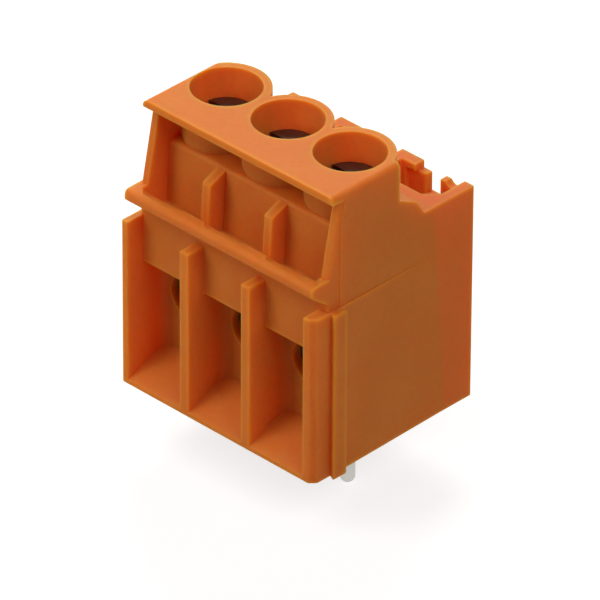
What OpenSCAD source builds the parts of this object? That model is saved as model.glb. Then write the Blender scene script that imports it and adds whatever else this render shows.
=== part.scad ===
// Screw terminal block for a circuit board: one moulded housing with a rising-yoke clamp in each pole.
// Millimetres, +Z up. The origin lies on the board face, on the axis of the middle pole's solder pin.
// +X runs along the row of poles, and the wires enter from the -Y side.

/* [Poles] */
// Distance from one pole to the next
pitch = 7.62; // [7.4:0.01:9]
// Thickness of the wall between two poles
rib_t = 1.1; // [0.9:0.05:1.3]
// Thickness of the left end wall
left_wall = 0.7; // [0.6:0.05:1.4]
// Thickness of the right end wall
right_wall = 1.35; // [1.1:0.05:2]

/* [Housing] */
// Height of the deck above the board
height = 28.7; // [27.5:0.1:32]
// Depth from the rib fronts to the back
depth = 20.4; // [19.8:0.1:24]
// Distance from the rib fronts to the screw row
screw_setback = 9.2; // [8.8:0.1:10.5]
// Height of the ribs and the end panels
panel_h = 17.15; // [16:0.05:18]
// How far the end panels stand out from the upper end faces
panel_step = 0.2; // [0.1:0.05:0.4]
// Chamfer on the front corner of the right end wall
corner_chamfer = 0.6; // [0.3:0.05:0.8]
// Rounding of the deck's end edges
deck_round = 0.6; // [0.3:0.05:0.7]
// Distance from the rib fronts to the fine step in the upper end faces
cheek_setback = 3.55; // [3.2:0.05:4]
// Depth of that step, in front of which the end faces lie lower
cheek_step = 0.1; // [0.05:0.01:0.2]

/* [Interlock tongue] */
// How far the tongue stands out from the right end
tongue_out = 0.65; // [0.4:0.05:0.9]
// Width of the tongue's outer face
tongue_w = 1.75; // [1.4:0.05:2.2]
// How far the tongue narrows on each side towards its root
tongue_flare = 0.3; // [0.1:0.05:0.4]
// Distance from the rib fronts to the outer face of the tongue
tongue_setback = 1.9; // [1.5:0.05:2.5]

/* [Wire funnels] */
// Distance from the rib fronts to the upper front wall
wall_setback = 1.95; // [1.5:0.05:2.5]
// Distance from the rib fronts to the wall with the wire holes
funnel_depth = 4.5; // [4.1:0.05:4.8]
// Height of the funnel ceiling
funnel_top = 12.25; // [11.6:0.05:13]
// Height of the sloping sill at the rib fronts
sill_front_h = 0.5; // [0.3:0.05:1]
// Height of the sloping sill at the wire holes
sill_back_h = 2.7; // [1.5:0.05:4]
// Radius of the funnel's rear corners
funnel_round = 1.2; // [0.5:0.05:1.8]
// Diameter of a wire hole
wire_hole_d = 4.5; // [4:0.05:4.7]
// Height of the wire axis
wire_axis_h = 8.7; // [8.4:0.05:9.2]

/* [Marker recess] */
// Rise from the rib tops to the root of the lip
lip_root = 0.85; // [0.5:0.05:1.2]
// Rise from the root of the lip to the foot of its front face
lip_slope_h = 1.4; // [1:0.05:2]
// Height of the lip's front face
lip_face_h = 1; // [0.6:0.05:1.4]
// Rounding of the lip's upper front edge
lip_round = 0.5; // [0.2:0.05:0.55]
// Depth of the flat top of the lip
lip_top_d = 1.2; // [0.9:0.05:1.4]
// How far the lip's front face lies behind the rib fronts
lip_setback = 0.1; // [0:0.05:0.4]
// Depth of the trough behind the lip
trough_h = 2.6; // [2:0.05:2.8]
// Depth over which the front wall of the trough slopes
trough_slope_d = 2.3; // [1.8:0.05:2.6]
// Distance from the rib fronts to the foot of the marker panel
panel_setback = 4.4; // [4.2:0.05:4.6]
// How far the marker panel leans back over its height
panel_lean = 0.35; // [0:0.05:0.5]
// Height of the marker panel above the trough
panel_rise = 6.2; // [5.2:0.05:6.6]
// Length of the finger scoop in the lip of each field
scoop_l = 5.3; // [4:0.05:5.8]
// Radius of the finger scoop
scoop_r = 1.05; // [0.8:0.05:1.2]
// Thickness of the dividers between the fields
divider_t = 1; // [0.7:0.05:1.3]
// How far the dividers stand out from the panel
divider_out = 1.9; // [1.2:0.05:2.2]
// Thickness of the end plates
plate_t = 1.05; // [0.8:0.05:1.2]
// Distance from the rib fronts to the end plates at the top of the lip
plate_setback = 2.1; // [1.95:0.05:2.5]
// How far the front edges of the end plates lean back
plate_lean = 1.5; // [0.8:0.05:1.8]
// Rounding of the outer front edges of the end plates
plate_round = 0.45; // [0.2:0.05:0.6]

/* [Deck and driver tubes] */
// Thickness of the deck
deck_t = 0.75; // [0.6:0.05:1.2]
// Distance from the rib fronts to the deck's front edge
deck_setback = 2.5; // [2.1:0.05:3]
// How far the deck reaches behind the screw row at its ends
deck_behind = 1.7; // [1.2:0.05:2]
// Bore of a driver tube
driver_bore_d = 6.56; // [6.2:0.02:6.8]
// Wall of a driver tube
tube_wall = 0.8; // [0.7:0.01:1]
// Depth of the screw heads below the deck
head_depth = 2.7; // [2:0.05:3.5]

/* [Back block] */
// Height of the back block
back_h = 22.1; // [21.6:0.05:22.6]
// Height of the gentle upper part of the shoulder behind the deck
shoulder_top_h = 1.05; // [0.6:0.05:1.4]
// Height of the steep lower part of the shoulder
shoulder_foot_h = 1.6; // [1:0.05:1.8]
// Depth of the steep lower part of the shoulder
shoulder_foot_d = 1.05; // [0.6:0.05:1.4]
// Thickness of the wall between the clamp chamber and the back pocket
pocket_front_t = 1.8; // [1.2:0.05:2.2]
// Thickness of the back wall
back_wall_t = 0.85; // [0.8:0.05:1.4]
// Thickening of the back wall where it is highest
back_wall_pad = 0.4; // [0.3:0.05:0.8]
// Width of the part that is thick down to the floor of the pocket
back_pad_w = 0.5; // [0.3:0.05:0.9]
// Depth of the notch in the left rear corner
corner_notch_d = 2.2; // [1.6:0.05:3]
// Depth of a back pocket
pocket_h = 7; // [4:0.1:10]
// Width of the slot in the back wall of each pole
latch_slot_w = 1.65; // [1:0.05:1.8]
// Depth of the slot in the back wall of each pole
latch_slot_h = 2.6; // [1.5:0.05:4]
// Width of the step beside the slot
latch_step_w = 1; // [0.6:0.05:1.2]
// Height of the step beside the slot
latch_step_h = 0.7; // [0.3:0.05:1]
// Radius of the round dip beside the slot
latch_dip_r = 0.85; // [0.6:0.05:0.9]

/* [Clamp] */
// Outside diameter of the screw thread
screw_d = 4; // [3.5:0.05:4.1]
// Diameter of the screw head
head_d = 5.5; // [5:0.05:5.9]
// Height of the screw head
head_h = 2.4; // [1.8:0.05:2.8]
// Width of the driver slot
slot_w = 0.9; // [0.6:0.05:1.2]
// Depth of the driver slot
slot_h = 1.2; // [0.8:0.05:1.5]
// Sheet thickness of the yoke's sides
yoke_sheet = 0.7; // [0.5:0.05:0.8]
// Length of the yoke along the wire
yoke_l = 7; // [6:0.05:7.2]
// Thickness of the yoke's floor
yoke_floor_t = 1.4; // [1:0.05:1.8]
// Thickness of the yoke's threaded head
yoke_head_t = 2.6; // [2:0.05:3]
// Height of the open clamp between the yoke's floor and the current bar
clamp_open = 5; // [4.7:0.05:5.2]
// Travel of the yoke
clamp_travel = 3.9; // [3:0.05:4.2]

/* [Current bar and pin] */
// Width of the current bar in the yoke
bar_w = 4.2; // [3.6:0.05:4.3]
// Thickness of the current bar
bar_t = 1.2; // [1:0.05:1.4]
// Height of the bar's foot above the board
foot_lift = 0.6; // [0.4:0.05:1]
// Length of the bar's wide foot
foot_l = 5.4; // [4:0.05:6]
// Diameter of the solder pin
pin_d = 1.4; // [1.2:0.05:1.6]
// Length of the solder pin below the board face
pin_l = 6; // [3.5:0.05:6.5]
// Diameter of the pin's collar
collar_d = 2.4; // [2:0.05:3]
// Diameter of the pin's tenon in the bar's foot
tenon_d = 0.9; // [0.7:0.05:1]

/* [Clearances] */
// Gap on each side of the yoke in its chamber
yoke_gap = 0.25; // [0.15:0.05:0.35]
// Radial gap between the screw and the yoke's thread
thread_gap = 0.05; // [0.03:0.01:0.08]
// Gap under the screw's head and tip
seat_gap = 0.05; // [0.03:0.01:0.2]
// Gap between the open yoke's head and the current bar
bar_gap = 0.4; // [0.2:0.05:0.6]
// Gap on each side of the bar's foot
foot_gap = 0.05; // [0.03:0.01:0.1]
// Radial gap around the pin's tenon
tenon_gap = 0.02; // [0.01:0.01:0.05]

/* [Hidden] */
$fn = 64;
poles = 3;
eps = 0.01;
over = 1;
orange = "#d8752f";
steel = "#a9aaa6";
tin = "#c3c4c2";

// Places across the row of poles
pole_w = pitch - rib_t;
x_left = -poles / 2 * pitch + rib_t / 2 - left_wall;
x_right = poles / 2 * pitch - rib_t / 2 + right_wall;
upper_left = x_left + panel_step;
upper_right = x_right - panel_step;

// Places from front to back
front_y = -screw_setback;
back_y = front_y + depth;
wall_y = front_y + wall_setback;
hole_wall_y = front_y + funnel_depth;
lip_y = front_y + lip_setback;
panel_y = front_y + panel_setback;
deck_y = front_y + deck_setback;
cheek_y = front_y + cheek_setback;
lip_back_y = lip_y + lip_top_d;
plate_y = front_y + plate_setback;
chamber_front = -yoke_l / 2 - yoke_gap;
bar_back = yoke_l / 2 + 2 * yoke_gap + bar_t;
pocket_y = bar_back + pocket_front_t;
shoulder_y = bar_back - yoke_gap;

// Heights in the marker recess
root_z = panel_h + lip_root;
lip_z = root_z + lip_slope_h;
lip_top_z = lip_z + lip_face_h;
trough_z = lip_top_z - trough_h;
panel_top_z = trough_z + panel_rise;
deck_z = height - deck_t;

// Heights of the clamp, with the yoke at its lowest
bar_z = wire_axis_h + clamp_open / 2;
bar_top = bar_z + bar_t;
yoke_floor_z = wire_axis_h - clamp_open / 2;
yoke_z = yoke_floor_z - yoke_floor_t;
yoke_head_z = bar_top + bar_gap;
yoke_top = yoke_head_z + yoke_head_t;
chamber_top = yoke_top + clamp_travel + 2 * yoke_gap;
head_top = height - head_depth;
seat_z = head_top - head_h - seat_gap;
tip_z = bar_top + seat_gap;

// Widths and radii of the clamp
yoke_w = pole_w - 2 * yoke_gap;
shank_r = screw_d / 2 - thread_gap;
tube_r = driver_bore_d / 2 + tube_wall;
tenon_r = tenon_d / 2;

// Points of an arc about a centre, from one angle to another
function arc(centre, r, from, to, steps = 6) = [
    for (i = [0 : steps])
        let (angle = from + (to - from) * i / steps) centre + r * [cos(angle), sin(angle)]
];

// X of a pole's axis, counted from 1 at the left
function pole_x(i) = (i - (poles + 1) / 2) * pitch;

// Places its children on the axis of a pole
module at_pole(i) {
    translate([pole_x(i), 0, 0]) children();
}

// Places its children on every pole
module each_pole() {
    for (i = [1 : poles]) at_pole(i) children();
}

// Extrudes a side profile, drawn as (Y, Z), from one X to another
module side_prism(from_x, to_x) {
    translate([from_x, 0, 0]) rotate([90, 0, 90]) linear_extrude(to_x - from_x) children();
}

// Extrudes a front outline, drawn as (X, Z), from one Y to another
module front_prism(from_y, to_y) {
    translate([0, to_y, 0]) rotate([90, 0, 0]) linear_extrude(to_y - from_y) children();
}

// Lower block, full width, with the end panel that tapers to the back and a chamfered front corner
module lower_block() {
    linear_extrude(panel_h) polygon([
        [x_left, front_y],
        [x_right - corner_chamfer, front_y],
        [x_right, front_y + corner_chamfer],
        [x_right, front_y + tongue_setback + tongue_w],
        [upper_right, pocket_y],
        [upper_right, back_y],
        [upper_left, back_y],
        [upper_left, pocket_y],
        [x_left, front_y + tongue_setback + tongue_w],
    ]);
}

// Dovetail tongue that interlocks with a neighbouring block
module tongue() {
    translate([x_right, front_y + tongue_setback, 0]) linear_extrude(panel_h) polygon([
        [-eps, tongue_flare],
        [tongue_out, 0],
        [tongue_out, tongue_w],
        [-eps, tongue_w - tongue_flare],
    ]);
}

// Marker lip: a sloping underside, an upright face, a rounded edge, a flat top and the trough's front wall
module lip() {
    side_prism(upper_left + cheek_step, upper_right - cheek_step) polygon(concat(
        [[wall_y, root_z], [lip_y, lip_z]],
        arc([lip_y + lip_round, lip_top_z - lip_round], lip_round, 180, 90),
        [
            [lip_back_y, lip_top_z],
            [lip_back_y + trough_slope_d, trough_z - eps],
            [wall_y + plate_round, trough_z - eps],
        ]
    ));
}

// Flat end of the lip in front of one end plate
module lip_end(from_x) {
    side_prism(from_x, from_x + plate_t - cheek_step) polygon([
        [lip_back_y - eps, lip_z],
        [lip_back_y - eps, lip_top_z],
        [plate_y + 2 * plate_round, lip_top_z],
        [plate_y + 2 * plate_round, trough_z - eps],
        [wall_y + plate_round, trough_z - eps],
    ]);
}

// Trunk above the lower block: front wall, trough, marker panel with its rounded top, shoulder and back block
module trunk() {
    bead_r = 0.4;
    bead = [panel_y + panel_lean + bead_r, panel_top_z - bead_r];
    side_prism(upper_left, upper_right) polygon(concat(
        [
            [wall_y, panel_h - eps],
            [wall_y, root_z],
            [wall_y + plate_round, trough_z],
            [panel_y, trough_z],
        ],
        arc(bead, bead_r, 180, 90),
        [
            [deck_behind, back_h + shoulder_foot_h + shoulder_top_h],
            [shoulder_y - shoulder_foot_d, back_h + shoulder_foot_h],
            [shoulder_y, back_h],
            [back_y, back_h],
            [back_y, panel_h - eps],
        ]
    ));
}

// One end plate of the marker recess, from the lip up to the deck
module end_plate(from_x) {
    side_prism(from_x, from_x + plate_t) polygon([
        [wall_y, panel_h - eps],
        [wall_y, root_z],
        [plate_y, lip_top_z],
        [plate_y + plate_lean, deck_z],
        [plate_y + plate_lean, height],
        [deck_behind, height],
        [deck_behind, panel_h - eps],
    ]);
}

// Divider between two marker fields
module divider() {
    foot_y = panel_y - divider_out;
    side_prism(-divider_t / 2, divider_t / 2) polygon([
        [foot_y, trough_z - eps],
        [foot_y + panel_lean, panel_top_z - divider_out / 2],
        [panel_y + panel_lean + divider_t / 2, panel_top_z],
        [panel_y + panel_lean + divider_t / 2, trough_z - eps],
    ]);
}

// Deck that ties the driver tubes and the end plates together
module deck() {
    translate([upper_left, deck_y, deck_z])
        cube([upper_right - upper_left, deck_behind - deck_y, deck_t]);
}

// Outline of the upper housing seen from the front, with rounded top corners
module upper_outline() {
    polygon(concat(
        [[upper_left, panel_h - over], [upper_right, panel_h - over]],
        arc([upper_right - deck_round, height - deck_round], deck_round, 0, 90),
        arc([upper_left + deck_round, height - deck_round], deck_round, 90, 180)
    ));
}

// Outline of the upper housing seen from above, with the fine step in its end faces
module upper_plan() {
    polygon([
        [upper_left + cheek_step, front_y],
        [upper_right - cheek_step, front_y],
        [upper_right - cheek_step, cheek_y],
        [upper_right, cheek_y],
        [upper_right, back_y],
        [upper_left, back_y],
        [upper_left, cheek_y],
        [upper_left + cheek_step, cheek_y],
    ]);
}

// Cuts an upright edge at the right end down to a round that meets both faces in a fine crease
module edge_cut(h) {
    inset = plate_round * cos(12);
    linear_extrude(h) difference() {
        translate([-plate_round, -over]) square([plate_round + over, plate_round + over]);
        translate([-inset, inset]) circle(plate_round);
    }
}

// Rounds the front edge of the right end face, upright below the lip and leaning above it
module plate_edge() {
    lean = atan(plate_lean / (deck_z - lip_top_z));
    edge_x = upper_right - cheek_step;
    translate([edge_x, wall_y, panel_h - eps]) edge_cut(root_z - panel_h + over);
    translate([edge_x, plate_y, lip_top_z])
        rotate([-lean, 0, 0]) translate([0, 0, -2 * over]) edge_cut(height);
}

// Trunk and end plates, with the front edges of the end faces rounded
module body_shell() {
    difference() {
        union() {
            trunk();
            end_plate(upper_left);
            end_plate(upper_right - plate_t);
        }
        plate_edge();
        translate([upper_left + upper_right, 0, 0]) mirror([1, 0, 0]) plate_edge();
    }
}

// Everything above the lower block
module upper_block() {
    intersection() {
        union() {
            intersection() {
                body_shell();
                linear_extrude(height) upper_plan();
            }
            lip();
            lip_end(upper_left + cheek_step);
            lip_end(upper_right - plate_t);
            deck();
            each_pole() translate([0, 0, trough_z]) cylinder(r = tube_r, h = height - trough_z);
            for (i = [1 : poles - 1]) at_pole(i + 0.5) divider();
        }
        front_prism(front_y - over, back_y + over) upper_outline();
    }
}

// Funnel of one pole: a sloping sill, a flat ceiling and rounded rear corners, open to the front
module funnel() {
    slope = (sill_back_h - sill_front_h) / funnel_depth;
    half = pole_w / 2;
    intersection() {
        side_prism(-half, half) polygon([
            [front_y - over, sill_front_h - slope * over],
            [hole_wall_y, sill_back_h],
            [hole_wall_y, funnel_top],
            [wall_y, funnel_top],
            [wall_y, panel_h + over],
            [front_y - over, panel_h + over],
        ]);
        linear_extrude(panel_h + over) polygon(concat(
            [[-half, front_y - over], [half, front_y - over]],
            arc([half - funnel_round, hole_wall_y - funnel_round], funnel_round, 0, 90),
            arc([-half + funnel_round, hole_wall_y - funnel_round], funnel_round, 90, 180)
        ));
    }
}

// Finger scoop in the lip of one marker field, with tapered ends
module scoop() {
    end = scoop_r / 2;
    translate([0, lip_back_y + scoop_r / 2, lip_top_z + scoop_r / 3])
        rotate([0, 90, 0]) rotate_extrude() polygon([
            [0, -scoop_l / 2],
            [scoop_r - end, -scoop_l / 2],
            [scoop_r, -scoop_l / 2 + end],
            [scoop_r, scoop_l / 2 - end],
            [scoop_r - end, scoop_l / 2],
            [0, scoop_l / 2],
        ]);
}

// Room for one clamp: the wire hole, the chamber open at the board face, the screw neck and the driver bore
module clamp_room() {
    translate([0, chamber_front + eps, wire_axis_h])
        rotate([90, 0, 0]) cylinder(d = wire_hole_d, h = chamber_front - hole_wall_y + over);
    translate([-pole_w / 2, chamber_front, -over])
        cube([pole_w, bar_back - chamber_front, chamber_top + over]);
    cylinder(d = screw_d + 2 * yoke_gap, h = height);
    translate([0, 0, seat_z]) cylinder(d = driver_bore_d, h = height);
}

// Pocket behind one pole, with a slanted front corner and a back wall that is thick at one end and on top
module back_pocket() {
    half = pole_w / 2;
    slant = pole_w / 5;
    step_x = -pole_w / 4;
    inner_y = back_y - back_wall_t;
    floor_z = back_h - pocket_h;
    difference() {
        translate([0, 0, floor_z]) linear_extrude(pocket_h + over) polygon([
            [-half, pocket_y],
            [half - slant, pocket_y],
            [half, pocket_y + slant],
            [half, inner_y],
            [-half, inner_y],
        ]);
        front_prism(inner_y - back_wall_pad, back_y) polygon([
            [-half - over, floor_z - over],
            [-half + back_pad_w, floor_z - over],
            [-half + back_pad_w, back_h - latch_step_h],
            [step_x, back_h - latch_step_h],
            [step_x, back_h + 2 * over],
            [-half - over, back_h + 2 * over],
        ]);
    }
}

// Step, slot, short post and round dip in the top of the back wall of one pole
module back_wall_cuts() {
    step_x = -pole_w / 4;
    slot_x = step_x + latch_step_w;
    dip_x = pole_w / 2 - latch_dip_r;
    post_drop = latch_dip_r / 2;
    wall_from = back_y - back_wall_t - back_wall_pad;
    front_prism(wall_from, back_y + over) {
        translate([step_x, back_h - latch_step_h]) square([latch_step_w + eps, latch_step_h + over]);
        translate([slot_x, back_h - latch_slot_h]) square([latch_slot_w, latch_slot_h + over]);
        translate([slot_x, back_h - post_drop]) square([dip_x - slot_x, post_drop + over]);
        translate([dip_x, back_h]) circle(latch_dip_r);
    }
}

// Notch in the left rear corner, as deep as the slots
module corner_notch() {
    notch_x = pole_x(1) - pole_w / 2 + back_pad_w;
    translate([upper_left - over, back_y - corner_notch_d, back_h - latch_slot_h])
        cube([notch_x - upper_left + over, corner_notch_d + over, latch_slot_h + over]);
}

// Housing: one moulding
module housing() {
    color(orange) difference() {
        union() {
            lower_block();
            tongue();
            upper_block();
        }
        each_pole() {
            funnel();
            scoop();
            clamp_room();
            back_pocket();
            back_wall_cuts();
        }
        corner_notch();
    }
}

// Clamp screw: slotted cheese head and a plain shank of the thread's size, ending on the current bar
module clamp_screw() {
    tip = 0.5;
    edge = 0.15;
    color(steel) difference() {
        rotate_extrude() polygon([
            [0, tip_z],
            [shank_r - tip, tip_z],
            [shank_r, tip_z + tip],
            [shank_r, seat_z + seat_gap],
            [head_d / 2, seat_z + seat_gap],
            [head_d / 2, head_top - edge],
            [head_d / 2 - edge, head_top],
            [0, head_top],
        ]);
        translate([-head_d / 2 - over, -slot_w / 2, head_top - slot_h])
            cube([head_d + 2 * over, slot_w, slot_h + over]);
    }
}

// Clamping yoke: a folded box, open along the wire, with a threaded head
module clamping_yoke() {
    bend = yoke_sheet;
    half = yoke_w / 2;
    color(steel) difference() {
        front_prism(-yoke_l / 2, yoke_l / 2) difference() {
            polygon(concat(
                arc([half - bend, yoke_z + bend], bend, -90, 0),
                arc([half - bend, yoke_top - bend], bend, 0, 90),
                arc([-half + bend, yoke_top - bend], bend, 90, 180),
                arc([-half + bend, yoke_z + bend], bend, 180, 270)
            ));
            translate([-half + yoke_sheet, yoke_floor_z])
                square([yoke_w - 2 * yoke_sheet, yoke_head_z - yoke_floor_z]);
        }
        translate([0, 0, yoke_head_z - over]) cylinder(d = screw_d, h = yoke_head_t + 2 * over);
    }
}

// Current bar: a bent strip, through the yoke, down its back and under it to a wide foot for the pin
module current_bar() {
    outer_r = 1.5 * bar_t;
    inner_r = outer_r - bar_t;
    front = -yoke_l / 2 + yoke_gap;
    heel = bar_back - outer_r;
    foot_top = foot_lift + bar_t;
    foot_w = pole_w - 2 * foot_gap;
    color(tin) difference() {
        union() {
            side_prism(-bar_w / 2, bar_w / 2) polygon(concat(
                [[-foot_l / 2, foot_lift]],
                arc([heel, foot_lift + outer_r], outer_r, -90, 0),
                arc([heel, bar_top - outer_r], outer_r, 0, 90),
                [[front, bar_top], [front, bar_z]],
                arc([heel, bar_z - inner_r], inner_r, 90, 0),
                arc([heel, foot_top + inner_r], inner_r, 0, -90),
                [[-foot_l / 2, foot_top]]
            ));
            translate([-foot_w / 2, -foot_l / 2, foot_lift]) cube([foot_w, foot_l, bar_t]);
        }
        cylinder(r = tenon_r + tenon_gap, h = foot_top + over);
    }
}

// Solder pin: a turned pin with a collar under the foot and a tenon through it
module solder_pin() {
    r = pin_d / 2;
    collar_z = foot_lift / 3;
    color(tin) rotate_extrude() polygon(concat(
        arc([0, r - pin_l], r, -90, 0),
        [
            [r, collar_z],
            [collar_d / 2, collar_z],
            [collar_d / 2, foot_lift],
            [tenon_r, foot_lift],
            [tenon_r, foot_lift + bar_t],
            [0, foot_lift + bar_t],
        ]
    ));
}

housing();
for (i = [1 : poles]) {
    at_pole(i) clamp_screw();
    at_pole(i) clamping_yoke();
    at_pole(i) current_bar();
    at_pole(i) solder_pin();
}
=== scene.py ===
"""Dressing for a row of screw clamps in a moulded block that is soldered to a circuit board.

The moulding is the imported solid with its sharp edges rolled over, as a mould leaves them. Screws, current
bars and solder pins are surfaces worked out with numpy, in millimetres, in the part's own frame.
"""

from itertools import combinations

import bmesh
import bpy
import numpy as np
from mathutils import Matrix, Vector


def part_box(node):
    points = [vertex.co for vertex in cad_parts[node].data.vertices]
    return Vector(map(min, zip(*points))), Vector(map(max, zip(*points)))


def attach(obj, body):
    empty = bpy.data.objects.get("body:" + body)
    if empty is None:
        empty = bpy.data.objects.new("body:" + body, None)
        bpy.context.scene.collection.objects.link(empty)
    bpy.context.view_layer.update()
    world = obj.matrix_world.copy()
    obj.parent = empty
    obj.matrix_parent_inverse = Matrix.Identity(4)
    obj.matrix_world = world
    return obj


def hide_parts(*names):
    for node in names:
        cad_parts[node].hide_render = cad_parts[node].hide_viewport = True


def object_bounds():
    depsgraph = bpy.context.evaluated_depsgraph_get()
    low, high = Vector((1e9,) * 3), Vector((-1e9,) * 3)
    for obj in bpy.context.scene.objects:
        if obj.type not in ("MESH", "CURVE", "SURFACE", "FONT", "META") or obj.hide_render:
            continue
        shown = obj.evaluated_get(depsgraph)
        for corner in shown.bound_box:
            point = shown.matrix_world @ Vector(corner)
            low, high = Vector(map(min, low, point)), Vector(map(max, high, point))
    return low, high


MM = 0.001
POLES = (1, 2, 3)
PITCH_MM = 7.62

# Camera, solved from the photograph's edges: a long lens, well back
AZIMUTH_DEG = 44.302
ELEVATION_DEG = 33.007
ROLL_DEG = 0.321
LENS_MM = 568.06
SENSOR_MM = 36.0
DISTANCE_MM = 840.2
AIM_MM = (1.040, 0.549, 9.969)

# Merging of doubled points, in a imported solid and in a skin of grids
SOLID_MERGE_MM = 0.002
SKIN_MERGE_MM = 0.0005

# Rolled edges
MOULD_EDGE_MM = 0.13
SHEET_EDGE_MM = 0.1
SHARP_DEG = 28.0
ROOM_SHARE = 0.4
FLAT_DEG = 0.6

# Moulding: how far red light travels in it, the shares of red, green and blue, and the thickness below
# which a yellow edge glow is painted on
SCATTER_MM = 2.5
SCATTER_SHARES = (1.0, 0.40, 0.16)
EDGE_GLOW_MM = 0.5

# Painted glow behind the hollow back: the line where it starts at the board, and how far that line moves
# forward for each millimetre of height
GLOW_LINE_Y_MM = 7.8
GLOW_LINE_LEAN = 0.078

# Clamp screw
THREAD_LEAD_MM = 0.7
THREAD_DEPTH_MM = 0.43
SHANK_R_MM = 1.95
TIP_CHAMFER_MM = 0.5
HEAD_H_MM = 2.4
HEAD_EDGE_MM = 0.18
SLOT_W_MM = 0.9
SLOT_H_MM = 1.2
THREAD_FLANK = 2.5
THREAD_CREST = 0.18
THREAD_FADE_TURNS = 1.5
SHANK_ROWS = 176
LUG_COLUMNS = 33
SLOT_COLUMNS = 5
LATHE_RING_MM = 1.38

# Current bar
BAR_T_MM = 1.2
BAR_HALF_W_MM = 2.1
BAR_EDGE_MM = 0.15
BAR_BEND_R_MM = 1.2
FOOT_HALF_W_MM = 3.21
FOOT_HALF_L_MM = 2.7

# Solder pin
PIN_R_MM = 0.7
COLLAR_R_MM = 1.2
COLLAR_Z_MM = 0.2
FOOT_Z_MM = 0.6
TENON_R_MM = 0.45
PIN_FILLET_MM = 0.15
COLLAR_EDGE_MM = 0.06

# Studio
LAMP_SIZE_M = 0.22
FLOOR_HALF_M = 3.0


def srgb(code):
    """Linear RGBA of an sRGB hex colour.

    A channel c is divided by 12.92 up to 0.04045, and above that is ((c + 0.055) / 1.055) to the power 2.4.
    """
    c = np.array([int(code[i : i + 2], 16) for i in (1, 3, 5)]) / 255.0
    linear = np.where(c <= 0.04045, c / 12.92, ((c + 0.055) / 1.055) ** 2.4)
    return (*linear.tolist(), 1.0)


def add(tree, kind, inputs=None, **settings):
    """Adds one node of a kind with its settings. An input that is given a socket is linked to it."""
    made = tree.nodes.new("ShaderNode" + kind)
    for name, value in settings.items():
        setattr(made, name, value)
    for name, value in (inputs or {}).items():
        if isinstance(value, bpy.types.NodeSocket):
            tree.links.new(value, made.inputs[name])
        else:
            made.inputs[name].default_value = value
    return made


def blank_material(name):
    """An empty node material and its tree."""
    material = bpy.data.materials.new(name)
    material.use_nodes = True
    material.node_tree.nodes.clear()
    return material, material.node_tree


def mix_colour(tree, share, first, second):
    """Socket of a colour that runs from the first to the second as the share runs from 0 to 1."""
    return add(tree, "Mix", {"Factor": share, "A": first, "B": second}, data_type="RGBA").outputs["Result"]


def per_mm(size_mm):
    """Texture scale at which one feature is about this many millimetres, on coordinates in metres."""
    return 1.0 / (size_mm * MM)


def orange_polyamide():
    """Moulded polyamide: satin and translucent, with a fine spark-eroded grain and slow flow tints.

    Red travels SCATTER_MM inside it, and green and blue their smaller shares of that, so hollows read red.
    Edges, where the far side is near, are painted yellow as a glow of light through them.
    """
    material, tree = blank_material("moulded_orange_polyamide")
    place = add(tree, "TexCoord").outputs["Object"]
    flow = add(tree, "TexNoise", {"Vector": place, "Scale": per_mm(7.0), "Detail": 3.0, "Roughness": 0.55})
    fleck = add(tree, "TexNoise", {"Vector": place, "Scale": per_mm(0.45), "Detail": 2.0, "Roughness": 0.6})
    tint = add(tree, "MapRange", {"Value": flow.outputs["Fac"], "From Min": 0.3, "From Max": 0.7})
    body = mix_colour(tree, tint.outputs["Result"], srgb("#dc782e"), srgb("#e28034"))
    speck = add(
        tree,
        "MapRange",
        {"Value": fleck.outputs["Fac"], "From Min": 0.45, "From Max": 0.8, "To Max": 0.25},
    )
    tone = mix_colour(tree, speck.outputs["Result"], body, srgb("#cf6426"))
    # Painted glow: behind a line that leans back towards the board the colour is painted redder, as if light
    # came through the hollow back
    axes = add(tree, "SeparateXYZ", {"Vector": place})
    depth = add(
        tree,
        "Math",
        {0: axes.outputs["Z"], 1: GLOW_LINE_LEAN, 2: axes.outputs["Y"]},
        operation="MULTIPLY_ADD",
    )
    painted_glow_share = add(
        tree,
        "MapRange",
        {
            "Value": depth.outputs["Value"],
            "From Min": (GLOW_LINE_Y_MM - 0.1) * MM,
            "From Max": (GLOW_LINE_Y_MM + 0.1) * MM,
            "To Max": 0.4,
        },
    )
    tone_with_painted_glow = mix_colour(tree, painted_glow_share.outputs["Result"], tone, srgb("#f26d32"))
    # Painted edge glow: where the far side is near, the colour is painted yellow, as if light left the edge
    # with its green
    near = add(tree, "AmbientOcclusion", {"Distance": EDGE_GLOW_MM * MM}, inside=True, samples=8)
    painted_edge_glow = add(
        tree,
        "MapRange",
        {"Value": near.outputs["AO"], "From Min": 1.0, "From Max": 0.5, "To Max": 0.85},
    )
    colour = mix_colour(tree, painted_edge_glow.outputs["Result"], tone_with_painted_glow, srgb("#ee8e2b"))
    gloss = add(tree, "MapRange", {"Value": fleck.outputs["Fac"], "To Min": 0.42, "To Max": 0.58})
    # The grain is about 0.05 mm on the real part and is drawn three times as coarse, so that it shows
    grain = add(tree, "TexNoise", {"Vector": place, "Scale": per_mm(0.16), "Detail": 2.0, "Roughness": 0.6})
    sink = add(tree, "TexNoise", {"Vector": place, "Scale": per_mm(3.5), "Detail": 1.0})
    wave = add(tree, "Bump", {"Height": sink.outputs["Fac"], "Strength": 0.12, "Distance": 0.12 * MM})
    relief = add(
        tree,
        "Bump",
        {
            "Height": grain.outputs["Fac"],
            "Strength": 0.22,
            "Distance": 0.02 * MM,
            "Normal": wave.outputs["Normal"],
        },
    )
    shader = add(
        tree,
        "BsdfPrincipled",
        {
            "Base Color": colour,
            "Roughness": gloss.outputs["Result"],
            "Normal": relief.outputs["Normal"],
            "IOR": 1.53,
            "Specular IOR Level": 0.05,
            "Subsurface Weight": 1.0,
            "Subsurface Radius": SCATTER_SHARES,
            "Subsurface Scale": SCATTER_MM * MM,
        },
    )
    add(tree, "OutputMaterial", {"Surface": shader.outputs["BSDF"]})
    return material


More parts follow.
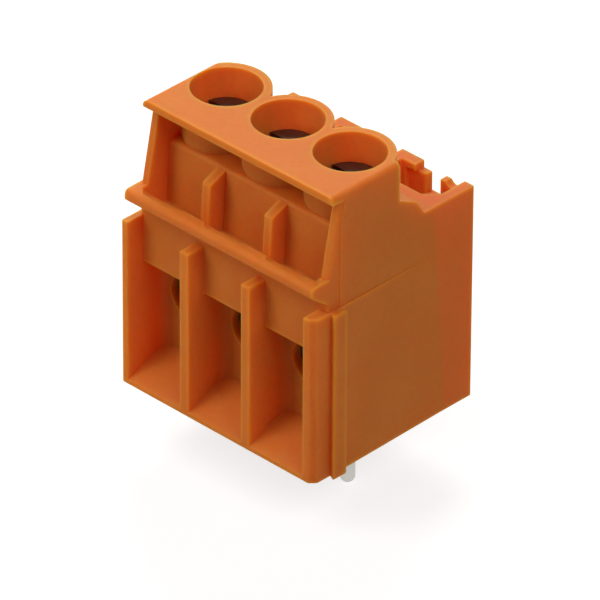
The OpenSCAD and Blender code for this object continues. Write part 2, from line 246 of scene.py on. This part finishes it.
def zinc_plated_steel():
    """Turned steel under bright zinc: rings left by the lathe about each pole, and a cloudy film."""
    material, tree = blank_material("zinc_plated_steel")
    place = add(tree, "TexCoord").outputs["Object"]
    axes = add(tree, "SeparateXYZ", {"Vector": place})
    half = PITCH_MM / 2 * MM
    # The same rings repeat on every pole: X is wrapped to half a pitch on each side of the nearest pole
    near = add(tree, "Math", {0: axes.outputs["X"], 1: half, 2: -half}, operation="WRAP")
    local = add(tree, "CombineXYZ", {"X": near.outputs["Value"], "Y": axes.outputs["Y"]})
    # A wave of scale s repeats every 2 pi / (20 s). The rings are drawn coarser than a lathe leaves them, so
    # that they show
    ring_scale = 2 * np.pi / (20 * LATHE_RING_MM * MM)
    rings = add(
        tree,
        "TexWave",
        {"Vector": local.outputs["Vector"], "Scale": ring_scale, "Distortion": 0.6, "Detail": 2.0},
        wave_type="RINGS",
        rings_direction="Z",
    )
    film = add(tree, "TexNoise", {"Vector": place, "Scale": per_mm(0.9), "Detail": 4.0, "Roughness": 0.6})
    colour = mix_colour(tree, film.outputs["Fac"], srgb("#4c4947"), srgb("#77726d"))
    gloss = add(tree, "MapRange", {"Value": film.outputs["Fac"], "To Min": 0.2, "To Max": 0.42})
    relief = add(tree, "Bump", {"Height": rings.outputs["Fac"], "Strength": 0.18, "Distance": 0.02 * MM})
    shader = add(
        tree,
        "BsdfPrincipled",
        {
            "Base Color": colour,
            "Metallic": 1.0,
            "Roughness": gloss.outputs["Result"],
            "Normal": relief.outputs["Normal"],
        },
    )
    add(tree, "OutputMaterial", {"Surface": shader.outputs["BSDF"]})
    return material


def tinned_copper():
    """Copper alloy under matt tin: a pale grey crystalline skin with a few duller patches."""
    material, tree = blank_material("tinned_copper")
    place = add(tree, "TexCoord").outputs["Object"]
    patch = add(tree, "TexNoise", {"Vector": place, "Scale": per_mm(1.1), "Detail": 3.0})
    crystal = add(tree, "TexVoronoi", {"Vector": place, "Scale": per_mm(0.18)})
    colour = mix_colour(tree, patch.outputs["Fac"], srgb("#b9b8b3"), srgb("#d9d7d0"))
    gloss = add(tree, "MapRange", {"Value": patch.outputs["Fac"], "To Min": 0.28, "To Max": 0.5})
    relief = add(
        tree,
        "Bump",
        {"Height": crystal.outputs["Distance"], "Strength": 0.12, "Distance": 0.02 * MM},
    )
    shader = add(
        tree,
        "BsdfPrincipled",
        {
            "Base Color": colour,
            "Metallic": 1.0,
            "Roughness": gloss.outputs["Result"],
            "Normal": relief.outputs["Normal"],
        },
    )
    add(tree, "OutputMaterial", {"Surface": shader.outputs["BSDF"]})
    return material


def link_object(name, mesh, material):
    """Puts a mesh into the scene at the origin, in one material."""
    mesh.materials.clear()
    mesh.materials.append(material)
    piece = bpy.data.objects.new(name, mesh)
    bpy.context.scene.collection.objects.link(piece)
    return piece


def shade(mesh, sharp_deg):
    """Smooth shading that breaks where faces meet at more than an angle."""
    mesh.polygons.foreach_set("use_smooth", np.ones(len(mesh.polygons), bool))
    mesh.set_sharp_from_angle(angle=np.radians(sharp_deg))


def free_room(face):
    """Least distance from each side of a face to its other sides, in metres.

    Points p along a side are dropped square on to every other side, from a to b, at the share
    t = (p - a) . (b - a) / |b - a|^2, held to 0..1. A neighbour is measured from the far end of the side
    only, where the two have parted.
    """
    ends = np.array([[loop.vert.co, loop.link_loop_next.vert.co] for loop in face.loops])
    count = len(ends)
    middle = 4
    share = np.linspace(0.0, 1.0, 2 * middle + 1)[:, None]
    points = ends[:, None, 0] * (1 - share) + ends[:, None, 1] * share
    along = ends[:, 1] - ends[:, 0]
    offset = points[:, :, None] - ends[None, None, :, 0]
    t = np.clip((offset * along).sum(-1) / (along**2).sum(-1), 0.0, 1.0)
    gap = np.linalg.norm(offset - t[..., None] * along, axis=-1)
    side = np.arange(count)
    gap[side, :, side] = np.inf
    gap[side, middle:, (side + 1) % count] = np.inf
    gap[side, : middle + 1, (side - 1) % count] = np.inf
    return gap.min(axis=(1, 2))


def level_runs(bm, weight):
    """Gives rolled edges that run on from each other the least weight among them.

    Two edges run on where they turn by less than SHARP_DEG at the corner between them. With unlike widths the
    two rolls would fold over there.
    """
    runs = []
    for corner in bm.verts:
        rolled = [edge for edge in corner.link_edges if edge[weight] > 0.0]
        for first, second in combinations(rolled, 2):
            arrive = corner.co - first.other_vert(corner).co
            leave = second.other_vert(corner).co - corner.co
            if arrive.angle(leave) < np.radians(SHARP_DEG):
                runs.append((first, second))
    uneven = runs
    while uneven:
        for first, second in uneven:
            first[weight] = second[weight] = min(first[weight], second[weight])
        uneven = [(first, second) for first, second in runs if first[weight] != second[weight]]


def rolled_copy(source, name, material, edge_mm):
    """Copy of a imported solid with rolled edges.

    Its loose triangles are merged, coplanar ones are joined, and a Bevel rolls every edge whose two faces
    turn by more than SHARP_DEG. Where a face is narrow the roll is held to a share of the room there.
    """
    bm = bmesh.new()
    bm.from_mesh(source.data)
    bmesh.ops.remove_doubles(bm, verts=bm.verts, dist=SOLID_MERGE_MM * MM)
    bmesh.ops.dissolve_limit(bm, angle_limit=np.radians(FLAT_DEG), verts=bm.verts, edges=bm.edges)
    bm.edges.index_update()
    room = np.full(len(bm.edges), np.inf)
    for face in bm.faces:
        sides = [loop.edge.index for loop in face.loops]
        np.minimum.at(room, sides, free_room(face))
    weight = bm.edges.layers.float.new("bevel_weight_edge")
    for edge in bm.edges:
        if edge.calc_face_angle(0.0) > np.radians(SHARP_DEG):
            edge[weight] = min(1.0, ROOM_SHARE * room[edge.index] / (edge_mm * MM))
    level_runs(bm, weight)
    mesh = bpy.data.meshes.new(name)
    bm.to_mesh(mesh)
    bm.free()
    shade(mesh, SHARP_DEG)
    piece = link_object(name, mesh, material)
    roll = piece.modifiers.new("rolled_edges", "BEVEL")
    roll.width = edge_mm * MM
    roll.segments = 2
    roll.limit_method = "WEIGHT"
    roll.use_clamp_overlap = False
    roll.harden_normals = True
    return piece


def skin(name, sheets, material, sharp_deg=40.0):
    """One closed piece from several grids of points in millimetres, each rows by columns by three.

    Each grid is skinned with quads between neighbouring rows and columns. Points that two grids share are
    merged, and the faces are turned outwards.
    """
    corners = []
    start = 0
    for sheet in sheets:
        rows, columns = sheet.shape[:2]
        k = start + np.arange(rows * columns).reshape(rows, columns)
        corners.append(np.stack([k[:-1, :-1], k[:-1, 1:], k[1:, 1:], k[1:, :-1]], -1).reshape(-1, 4))
        start += rows * columns
    points = np.concatenate([sheet.reshape(-1, 3) for sheet in sheets]) * MM
    mesh = bpy.data.meshes.new(name)
    mesh.from_pydata(points.tolist(), [], np.concatenate(corners).tolist())
    bm = bmesh.new()
    bm.from_mesh(mesh)
    bmesh.ops.remove_doubles(bm, verts=bm.verts, dist=SKIN_MERGE_MM * MM)
    bmesh.ops.dissolve_degenerate(bm, edges=bm.edges, dist=SKIN_MERGE_MM * MM)
    bmesh.ops.recalc_face_normals(bm, faces=bm.faces)
    bm.to_mesh(mesh)
    bm.free()
    shade(mesh, sharp_deg)
    return link_object(name, mesh, material)


def turned(radius, height, angle):
    """Points at a radius, height and angle about Z, broadcast together: (r cos a, r sin a, z)."""
    radius, height, angle = np.broadcast_arrays(radius, height, angle)
    return np.stack([radius * np.cos(angle), radius * np.sin(angle), height], -1)


def screw_sheets(tip_z, top_z, head_r):
    """Slotted cheese-head screw about Z, as grids that share their border points.

    Shank: the radius falls from the outside by the thread depth times a flat-topped saw of height minus
    lead times angle over a turn, so the groove climbs one lead a turn. The saw's slope is THREAD_FLANK and
    its flat is set by THREAD_CREST. It fades out under the head and a cone cuts the tip.

    Head: two lugs, each a stack of arcs of radius r whose ends lie on the slot's wall, at the angle arcsin
    of half the slot over r. The slot's floor is the strip between the walls, its rows running from rim to
    rim.
    """
    half = SLOT_W_MM / 2
    under_z = top_z - HEAD_H_MM
    floor_z = top_z - SLOT_H_MM
    rim = np.arcsin(half / head_r)
    slot_end = np.linspace(-rim, rim, SLOT_COLUMNS)
    lug = np.linspace(rim, np.pi - rim, LUG_COLUMNS)
    around = np.concatenate([slot_end, lug[1:], slot_end[1:] + np.pi, lug[1:] + np.pi])

    z = np.linspace(tip_z, under_z, SHANK_ROWS)[:, None]
    phase = np.mod((z - THREAD_LEAD_MM * around / (2 * np.pi)) / THREAD_LEAD_MM, 1.0)
    groove = np.clip(THREAD_FLANK * np.abs(phase - 0.5) - THREAD_CREST, 0.0, 1.0)
    fade = np.clip((under_z - z) / (THREAD_FADE_TURNS * THREAD_LEAD_MM), 0.0, 1.0)
    cone = SHANK_R_MM - TIP_CHAMFER_MM + (z - tip_z)
    shank_r = np.minimum(SHANK_R_MM - THREAD_DEPTH_MM * groove * fade, cone)
    shank = turned(shank_r, z, around)
    tip = turned(np.array([[0.0], [SHANK_R_MM - TIP_CHAMFER_MM]]), tip_z, around)
    collar = turned(np.array([[SHANK_R_MM], [head_r]]), under_z, around)
    side = turned(head_r, np.array([[under_z], [floor_z]]), around)

    turn = np.linspace(0.0, np.pi / 2, 6)
    face_x = np.linspace(np.sqrt((head_r - HEAD_EDGE_MM) ** 2 - half**2), 0.0, 9)
    arc_r = np.concatenate([head_r - HEAD_EDGE_MM * (1 - np.cos(turn)), np.hypot(face_x, half)[1:]])
    arc_z = np.concatenate([top_z - HEAD_EDGE_MM * (1 - np.sin(turn)), np.full(len(face_x) - 1, top_z)])
    lug_r = np.concatenate([[head_r], arc_r])[:, None]
    lug_z = np.concatenate([[floor_z], arc_z])[:, None]
    wall_angle = np.arcsin(np.clip(half / lug_r, 0.0, 1.0))
    across = np.linspace(0.0, 1.0, LUG_COLUMNS)
    lug_top = turned(lug_r, lug_z, wall_angle + (np.pi - 2 * wall_angle) * across)

    wall_x = np.sqrt(np.maximum(arc_r**2 - half**2, 0.0))
    wall_x = np.concatenate([wall_x, -wall_x[-2::-1]])
    wall_z = np.concatenate([arc_z, arc_z[-2::-1]])
    level = np.array([[0.0], [1.0]])
    wall = np.stack(np.broadcast_arrays(wall_x, half, floor_z + level * (wall_z - floor_z)), -1)
    strip_y = head_r * np.sin(slot_end)
    strip_x = (wall_x / wall_x[0])[:, None] * np.sqrt(head_r**2 - strip_y**2)
    strip = np.stack(np.broadcast_arrays(strip_x, strip_y, floor_z), -1)
    half_turn = np.array([-1.0, -1.0, 1.0])
    return [shank, tip, collar, side, lug_top, lug_top * half_turn, wall, wall * half_turn, strip]


def bar_sheets(front_y, back_y, foot_z, top_z):
    """Bent current bar: a rounded rectangle carried along a path in the YZ plane.

    The path runs back through the clamp, turns down in a quarter circle, down behind the clamp, turns forward
    in another, and ends in the foot. The half width steps up along the foot. Both ends close on their centre.
    """
    half_t = BAR_T_MM / 2
    web_y = back_y - half_t
    heel_y = web_y - BAR_BEND_R_MM
    upper_z = top_z - half_t
    lower_z = foot_z + half_t
    turn = np.linspace(0.0, np.pi / 2, 9)
    out = BAR_BEND_R_MM * np.sin(turn)
    back = BAR_BEND_R_MM * (1 - np.cos(turn))
    upper = np.stack([heel_y + out, upper_z - back], -1)
    lower = np.stack([web_y - back, lower_z + BAR_BEND_R_MM - out], -1)
    start = np.array([[front_y, upper_z]] * 2 + [[front_y + BAR_EDGE_MM, upper_z]])
    foot = np.array([[FOOT_HALF_L_MM, lower_z]] * 2 + [[-FOOT_HALF_L_MM + BAR_EDGE_MM, lower_z]])
    end = np.array([[-FOOT_HALF_L_MM, lower_z]] * 2)
    path = np.concatenate([start, upper, lower, foot, end])
    straight = np.zeros(3)
    heading = np.concatenate([straight, turn, np.pi / 2 + turn, straight + np.pi, [np.pi, np.pi]])
    half_w = np.full(len(path), BAR_HALF_W_MM)
    half_w[-4:] = FOOT_HALF_W_MM
    inset = np.zeros(len(path))
    inset[[1, -2]] = BAR_EDGE_MM
    shrink = np.ones(len(path))
    shrink[[0, -1]] = 0.0
    corner = np.linspace(0.0, 2 * np.pi, 17)
    quarter = np.round((corner - np.pi / 4) / (np.pi / 2)) * np.pi / 2 + np.pi / 4
    edge = BAR_EDGE_MM * np.stack([np.cos(corner), np.sin(corner)], -1)
    out_x = np.sign(np.cos(quarter))
    out_n = np.sign(np.sin(quarter))
    round_off = (1 - inset / BAR_EDGE_MM)[:, None]
    wide = ((half_w - BAR_EDGE_MM)[:, None] * out_x + edge[:, 0] * round_off) * shrink[:, None]
    thick = ((half_t - BAR_EDGE_MM) * out_n + edge[:, 1] * round_off) * shrink[:, None]
    y = path[:, :1] + np.sin(heading)[:, None] * thick
    z = path[:, 1:] + np.cos(heading)[:, None] * thick
    return [np.stack([wide, y, z], -1)]


def pin_sheets(tip_z, foot_top_z):
    """Solder pin: one profile of radius and height turned about Z: round tip, pin, collar and tenon."""
    turn = np.linspace(0.0, np.pi / 2, 9)
    bend = np.linspace(0.0, np.pi / 2, 5)
    rise = 1 - np.cos(bend)
    drop = 1 - np.sin(bend)
    tip = np.stack([PIN_R_MM * np.sin(turn), tip_z + PIN_R_MM * (1 - np.cos(turn))], -1)
    root = np.stack([PIN_R_MM + PIN_FILLET_MM * rise, COLLAR_Z_MM - PIN_FILLET_MM * drop], -1)
    rim = np.stack([COLLAR_R_MM - COLLAR_EDGE_MM * drop, COLLAR_Z_MM + COLLAR_EDGE_MM * rise], -1)
    tenon = [[COLLAR_R_MM, FOOT_Z_MM], [TENON_R_MM, FOOT_Z_MM], [TENON_R_MM, foot_top_z], [0.0, foot_top_z]]
    profile = np.concatenate([tip, root, rim, tenon])
    return [turned(profile[:, :1], profile[:, 1:], np.linspace(0.0, 2 * np.pi, 49))]


def in_mm(node_name):
    """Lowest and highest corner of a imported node, in millimetres."""
    low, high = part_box(node_name)
    return np.array(low) / MM, np.array(high) / MM


def dress(piece, body, slot, *nodes):
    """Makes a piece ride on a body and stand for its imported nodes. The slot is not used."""
    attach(piece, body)
    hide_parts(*nodes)


def make_pieces(nodes):
    """Housing, screws, yokes, bars and pins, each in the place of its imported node."""
    polyamide = orange_polyamide()
    zinc = zinc_plated_steel()
    tin = tinned_copper()
    housing = rolled_copy(nodes["housing"], "moulded_housing", polyamide, MOULD_EDGE_MM)
    dress(housing, "housing", "polyamide", "housing")
    for pole in POLES:
        screw = f"clamp_screw_{pole}"
        low, high = in_mm(screw)
        centre = np.array([(low[0] + high[0]) / 2, 0.0, 0.0])
        sheets = [sheet + centre for sheet in screw_sheets(low[2], high[2], (high[0] - low[0]) / 2)]
        dress(skin(f"slotted_screw_{pole}", sheets, zinc), screw, "zinc_plated_steel", screw)

        yoke = f"clamping_yoke_{pole}"
        piece = rolled_copy(nodes[yoke], f"folded_yoke_{pole}", zinc, SHEET_EDGE_MM)
        dress(piece, yoke, "zinc_plated_steel", yoke)

        bar = f"current_bar_{pole}"
        low, high = in_mm(bar)
        sheets = [sheet + centre for sheet in bar_sheets(low[1], high[1], low[2], high[2])]
        dress(skin(f"bent_bar_{pole}", sheets, tin), "housing", "tinned_copper", bar)

        pin = f"solder_pin_{pole}"
        low, high = in_mm(pin)
        sheets = [sheet + centre for sheet in pin_sheets(low[2], high[2])]
        dress(skin(f"tinned_pin_{pole}", sheets, tin), "housing", "tinned_copper", pin)


def plain_sight(tree):
    """Socket that is 1 for rays that show the surroundings and 0 for rays that only light the part.

    The first are camera, glossy and transmission rays: the most of the three flags.
    """
    path = add(tree, "LightPath").outputs
    gloss = add(tree, "Math", {0: path["Is Camera Ray"], 1: path["Is Glossy Ray"]}, operation="MAXIMUM")
    glass = add(
        tree,
        "Math",
        {0: gloss.outputs["Value"], 1: path["Is Transmission Ray"]},
        operation="MAXIMUM",
    )
    return glass.outputs["Value"]


def make_floor(z):
    """A wide sheet of card under the pins, at a height in metres.

    It is lit from behind, so that it shows white and the part's shadow on it stays pale.
    """
    half = FLOOR_HALF_M
    mesh = bpy.data.meshes.new("card_floor")
    corners = [(-half, -half, z), (half, -half, z), (half, half, z), (-half, half, z)]
    mesh.from_pydata(corners, [], [(0, 1, 2, 3)])
    material, tree = blank_material("backlit_white_card")
    card = add(tree, "BsdfDiffuse", {"Color": srgb("#a6a6a6")})
    strength = add(tree, "MapRange", {"Value": plain_sight(tree), "To Min": 0.11, "To Max": 0.75})
    glow = add(tree, "Emission", {"Color": srgb("#ffffff"), "Strength": strength.outputs["Result"]})
    lit = add(tree, "AddShader", {0: card.outputs["BSDF"], 1: glow.outputs["Emission"]})
    add(tree, "OutputMaterial", {"Surface": lit.outputs["Shader"]})
    link_object("card_floor", mesh, material)


def make_light():
    """White surroundings and five soft boxes, each a square lamp that faces the part.

    One is overhead, two are at the front left, high and low, one at the back left and one at the right.
    """
    scene = bpy.context.scene
    world = bpy.data.worlds.new("white_studio")
    world.use_nodes = True
    tree = world.node_tree
    tree.nodes.clear()
    strength = add(tree, "MapRange", {"Value": plain_sight(tree), "To Min": 0.03, "To Max": 1.0})
    sky = add(tree, "Background", {"Color": srgb("#ffffff"), "Strength": strength.outputs["Result"]})
    add(tree, "OutputWorld", {"Surface": sky.outputs["Background"]})
    scene.world = world
    boxes = (
        ("overhead_box", (0.0, -0.17, 0.47), 0.27),
        ("front_left_box", (-0.18, -0.31, 0.35), 0.82),
        ("front_low_box", (-0.24, -0.41, 0.15), 0.15),
        ("back_left_box", (-0.22, 0.28, 0.35), 1.40),
        ("right_box", (0.33, -0.08, 0.35), 0.78),
    )
    for name, place, watts in boxes:
        lamp = bpy.data.lights.new(name, "AREA")
        lamp.size = LAMP_SIZE_M
        lamp.energy = watts
        holder = bpy.data.objects.new(name, lamp)
        holder.location = place
        holder.rotation_euler = (-Vector(place)).to_track_quat("-Z", "Y").to_euler()
        scene.collection.objects.link(holder)


def make_camera():
    """Camera that looks at the aim from the photograph's angle.

    It stands back from the aim along (sin a cos e, -cos a cos e, sin e) for azimuth a and elevation e. Its
    right and up are square to that line and rolled about it.
    """
    a, e, r = np.radians([AZIMUTH_DEG, ELEVATION_DEG, ROLL_DEG])
    back = np.array([np.sin(a) * np.cos(e), -np.cos(a) * np.cos(e), np.sin(e)])
    level = np.array([np.cos(a), np.sin(a), 0.0])
    upright = np.cross(back, level)
    right = np.cos(r) * level + np.sin(r) * upright
    up = np.cos(r) * upright - np.sin(r) * level
    lens = bpy.data.cameras.new("long_lens")
    lens.lens = LENS_MM
    lens.sensor_width = SENSOR_MM
    camera = bpy.data.objects.new("long_lens", lens)
    turn = Matrix(np.stack([right, up, back], -1).tolist()).to_4x4()
    place = (np.array(AIM_MM) + DISTANCE_MM * back) * MM
    camera.matrix_world = Matrix.Translation(place.tolist()) @ turn
    bpy.context.scene.collection.objects.link(camera)
    bpy.context.scene.camera = camera


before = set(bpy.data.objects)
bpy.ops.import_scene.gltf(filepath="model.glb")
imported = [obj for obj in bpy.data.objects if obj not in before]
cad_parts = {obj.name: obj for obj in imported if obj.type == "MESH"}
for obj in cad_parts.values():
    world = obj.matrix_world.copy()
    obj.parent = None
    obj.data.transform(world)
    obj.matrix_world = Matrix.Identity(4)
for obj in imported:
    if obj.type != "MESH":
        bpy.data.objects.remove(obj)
cad_low, cad_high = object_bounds()
make_camera()
make_pieces(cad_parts)
make_floor(cad_low.z)
make_light()
bpy.context.scene.view_settings.view_transform = "Standard"
